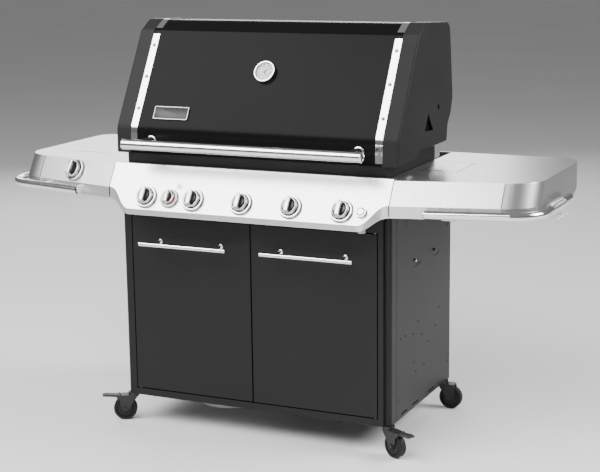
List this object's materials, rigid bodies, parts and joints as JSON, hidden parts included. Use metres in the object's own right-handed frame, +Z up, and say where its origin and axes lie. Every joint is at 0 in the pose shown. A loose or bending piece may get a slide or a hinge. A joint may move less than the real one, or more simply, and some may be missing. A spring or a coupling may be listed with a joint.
{
  "type": "gas barbecue grill",
  "caption": "Gas barbecue grill on a closed wheeled cart, with a hinged lid, cabinet doors, burner knobs, side tables, a side burner and towel rails.",
  "frame": {"origin": "on the floor, under the middle of the whole grill's footprint", "axes": "+X to the right of a person facing the doors, +Y from the doors to the back, +Z up"},
  "size_m": [1.9067, 0.7313, 1.3504],
  "materials": {
    "lid_enamel": "satin baked enamel",
    "lid_cap_metal": "satin cast, dark grey",
    "cart_paint": "satin powder coat",
    "brushed_stainless": "brushed",
    "table_steel": "satin",
    "corner_cover_metal": "polished cast",
    "polished_chrome": "polished",
    "knob_chrome": "satin chrome",
    "firebox_metal": "cast, satin dark coating",
    "grate_iron": "matte enamel",
    "steel_sheet": "plain",
    "brass_fittings": "machined",
    "galvanised": "galvanised",
    "rack_wire": "plated wire",
    "burner_cast": "matte",
    "caster_metal": "satin plating",
    "caster_tread": "moulded",
    "pedal_plastic": "moulded",
    "igniter_plastic": "moulded",
    "thermometer_metal": "satin bezel with white dial"
  },
  "bodies": {
    "root": {"corner_posts": "cart_paint", "side_panels": "cart_paint", "rear_panel": "cart_paint", "bottom_panel": "cart_paint", "tank_pan": "galvanised", "front_rails": "cart_paint", "cookbox": "firebox_metal", "cooking_grates": "grate_iron", "heat_deflectors": "steel_sheet", "burner_tubes": "steel_sheet", "gas_manifold": "steel_sheet", "gas_valves": "brass_fittings", "warming_rack": "rack_wire", "control_panel": "brushed_stainless", "knob_bezels": "knob_chrome", "table_left": "table_steel", "table_right": "table_steel", "table_ends": "corner_cover_metal", "table_insert": "table_steel", "towel_rails": "polished_chrome", "side_burner_bowl": "steel_sheet", "side_burner_head": "burner_cast", "hinge_pins": "steel_sheet"},
    "lid": {"lid_shroud": "lid_enamel", "lid_end_caps": "lid_cap_metal", "lid_trim": "polished_chrome", "lid_handle": "polished_chrome", "lid_handle_posts": "polished_chrome", "thermometer": "thermometer_metal"},
    "left_door": {"door_left": "cart_paint", "door_handle_left": "polished_chrome"},
    "right_door": {"door_right": "cart_paint", "door_handle_right": "polished_chrome"},
    "valve_stem_1": {"valve_stem_1": "brass_fittings"},
    "knob_1": {"knob_1": "knob_chrome"},
    "valve_stem_2": {"valve_stem_2": "brass_fittings"},
    "knob_2": {"knob_2": "knob_chrome"},
    "valve_stem_3": {"valve_stem_3": "brass_fittings"},
    "knob_3": {"knob_3": "knob_chrome"},
    "valve_stem_4": {"valve_stem_4": "brass_fittings"},
    "knob_4": {"knob_4": "knob_chrome"},
    "valve_stem_5": {"valve_stem_5": "brass_fittings"},
    "knob_5": {"knob_5": "knob_chrome"},
    "small_valve_stem": {"small_valve_stem": "brass_fittings"},
    "small_knob": {"small_knob": "knob_chrome"},
    "side_burner_valve_stem": {"side_burner_valve_stem": "brass_fittings"},
    "side_burner_knob": {"side_burner_knob": "knob_chrome"},
    "push_button": {"push_button": "igniter_plastic"},
    "side_burner_cover": {"side_burner_cover": "table_steel"},
    "grease_tray": {"grease_tray": "galvanised"},
    "caster_fork_front_left": {"caster_fork_front_left": "caster_metal"},
    "caster_wheel_front_left": {"caster_wheel_front_left": "caster_tread"},
    "brake_pedal_front_left": {"brake_pedal_front_left": "pedal_plastic"},
    "caster_fork_front_right": {"caster_fork_front_right": "caster_metal"},
    "caster_wheel_front_right": {"caster_wheel_front_right": "caster_tread"},
    "brake_pedal_front_right": {"brake_pedal_front_right": "pedal_plastic"},
    "caster_fork_rear_left": {"caster_fork_rear_left": "caster_metal"},
    "caster_wheel_rear_left": {"caster_wheel_rear_left": "caster_tread"},
    "caster_fork_rear_right": {"caster_fork_rear_right": "caster_metal"},
    "caster_wheel_rear_right": {"caster_wheel_rear_right": "caster_tread"}
  },
  "joints": [
    {"name": "lid_hinge", "type": "hinge", "parent": "root", "child": "lid", "pos_m": [0, 0.19, 0.985], "axis": [-1, 0, 0], "range_deg": [0, 85]},
    {"name": "left_door_hinge", "type": "hinge", "parent": "root", "child": "left_door", "pos_m": [-0.4284, -0.2505, 0.4], "axis": [0, 0, -1], "range_deg": [0, 105]},
    {"name": "right_door_hinge", "type": "hinge", "parent": "root", "child": "right_door", "pos_m": [0.4284, -0.2505, 0.4], "axis": [0, 0, 1], "range_deg": [0, 105]},
    {"name": "knob_1_push", "type": "slide", "parent": "root", "child": "valve_stem_1", "axis": [0, 0.8491, -0.5283], "range_m": [0, 0.003], "stiffness_N_per_m": 900, "springref_m": -0.002},
    {"name": "knob_1_turn", "type": "hinge", "parent": "valve_stem_1", "child": "knob_1", "pos_m": [-0.344, -0.31698, 0.795], "axis": [0, -0.8491, 0.5283], "range_deg": [0, 180]},
    {"name": "knob_2_push", "type": "slide", "parent": "root", "child": "valve_stem_2", "axis": [0, 0.8491, -0.5283], "range_m": [0, 0.003], "stiffness_N_per_m": 900, "springref_m": -0.002},
    {"name": "knob_2_turn", "type": "hinge", "parent": "valve_stem_2", "child": "knob_2", "pos_m": [-0.172, -0.31698, 0.795], "axis": [0, -0.8491, 0.5283], "range_deg": [0, 180]},
    {"name": "knob_3_push", "type": "slide", "parent": "root", "child": "valve_stem_3", "axis": [0, 0.8491, -0.5283], "range_m": [0, 0.003], "stiffness_N_per_m": 900, "springref_m": -0.002},
    {"name": "knob_3_turn", "type": "hinge", "parent": "valve_stem_3", "child": "knob_3", "pos_m": [0, -0.31698, 0.795], "axis": [0, -0.8491, 0.5283], "range_deg": [0, 180]},
    {"name": "knob_4_push", "type": "slide", "parent": "root", "child": "valve_stem_4", "axis": [0, 0.8491, -0.5283], "range_m": [0, 0.003], "stiffness_N_per_m": 900, "springref_m": -0.002},
    {"name": "knob_4_turn", "type": "hinge", "parent": "valve_stem_4", "child": "knob_4", "pos_m": [0.172, -0.31698, 0.795], "axis": [0, -0.8491, 0.5283], "range_deg": [0, 180]},
    {"name": "knob_5_push", "type": "slide", "parent": "root", "child": "valve_stem_5", "axis": [0, 0.8491, -0.5283], "range_m": [0, 0.003], "stiffness_N_per_m": 900, "springref_m": -0.002},
    {"name": "knob_5_turn", "type": "hinge", "parent": "valve_stem_5", "child": "knob_5", "pos_m": [0.344, -0.31698, 0.795], "axis": [0, -0.8491, 0.5283], "range_deg": [0, 180]},
    {"name": "small_knob_push", "type": "slide", "parent": "root", "child": "small_valve_stem", "axis": [0, 0.8491, -0.5283], "range_m": [0, 0.003], "stiffness_N_per_m": 900, "springref_m": -0.002},
    {"name": "small_knob_turn", "type": "hinge", "parent": "small_valve_stem", "child": "small_knob", "pos_m": [-0.258, -0.31698, 0.795], "axis": [0, -0.8491, 0.5283], "range_deg": [0, 180]},
    {"name": "side_burner_knob_push", "type": "slide", "parent": "root", "child": "side_burner_valve_stem", "axis": [0.1973, 0.8324, -0.5179], "range_m": [0, 0.003], "stiffness_N_per_m": 900, "springref_m": -0.002},
    {"name": "side_burner_knob_turn", "type": "hinge", "parent": "side_burner_valve_stem", "child": "side_burner_knob", "pos_m": [-0.661, -0.24084, 0.853], "axis": [-0.1973, -0.8324, 0.5179], "range_deg": [0, 180]},
    {"name": "button_push", "type": "slide", "parent": "root", "child": "push_button", "axis": [0, 0.8491, -0.5283], "range_m": [0, 0.003], "stiffness_N_per_m": 600, "springref_m": -0.002},
    {"name": "cover_hinge", "type": "hinge", "parent": "root", "child": "side_burner_cover", "pos_m": [-0.715, 0.2475, 0.8865], "axis": [-1, 0, 0], "range_deg": [0, 100]},
    {"name": "tray_slide", "type": "slide", "parent": "root", "child": "grease_tray", "axis": [0, 1, 0], "range_m": [0, 0.24]},
    {"name": "front_left_caster_swivel", "type": "hinge", "parent": "root", "child": "caster_fork_front_left", "pos_m": [-0.468, -0.235, 0.095], "axis": [0, 0, 1], "continuous": true},
    {"name": "front_left_wheel_spin", "type": "hinge", "parent": "caster_fork_front_left", "child": "caster_wheel_front_left", "pos_m": [-0.49473, -0.24862, 0.04], "axis": [-0.454, 0.891, 0], "continuous": true},
    {"name": "front_left_brake_pedal", "type": "hinge", "parent": "caster_fork_front_left", "child": "brake_pedal_front_left", "pos_m": [-0.51433, -0.25861, 0.082], "axis": [0.454, -0.891, 0], "range_deg": [0, 12]},
    {"name": "front_right_caster_swivel", "type": "hinge", "parent": "root", "child": "caster_fork_front_right", "pos_m": [0.468, -0.235, 0.095], "axis": [0, 0, 1], "continuous": true},
    {"name": "front_right_wheel_spin", "type": "hinge", "parent": "caster_fork_front_right", "child": "caster_wheel_front_right", "pos_m": [0.49473, -0.24862, 0.04], "axis": [-0.454, -0.891, 0], "continuous": true},
    {"name": "front_right_brake_pedal", "type": "hinge", "parent": "caster_fork_front_right", "child": "brake_pedal_front_right", "pos_m": [0.51433, -0.25861, 0.082], "axis": [0.454, 0.891, 0], "range_deg": [0, 12]},
    {"name": "rear_left_caster_swivel", "type": "hinge", "parent": "root", "child": "caster_fork_rear_left", "pos_m": [-0.466, 0.29, 0.095], "axis": [0, 0, 1], "continuous": true},
    {"name": "rear_left_wheel_spin", "type": "hinge", "parent": "caster_fork_rear_left", "child": "caster_wheel_rear_left", "pos_m": [-0.496, 0.29, 0.04], "axis": [0, 1, 0], "continuous": true},
    {"name": "rear_right_caster_swivel", "type": "hinge", "parent": "root", "child": "caster_fork_rear_right", "pos_m": [0.466, 0.29, 0.095], "axis": [0, 0, 1], "continuous": true},
    {"name": "rear_right_wheel_spin", "type": "hinge", "parent": "caster_fork_rear_right", "child": "caster_wheel_rear_right", "pos_m": [0.496, 0.29, 0.04], "axis": [0, -1, 0], "continuous": true}
  ]
}
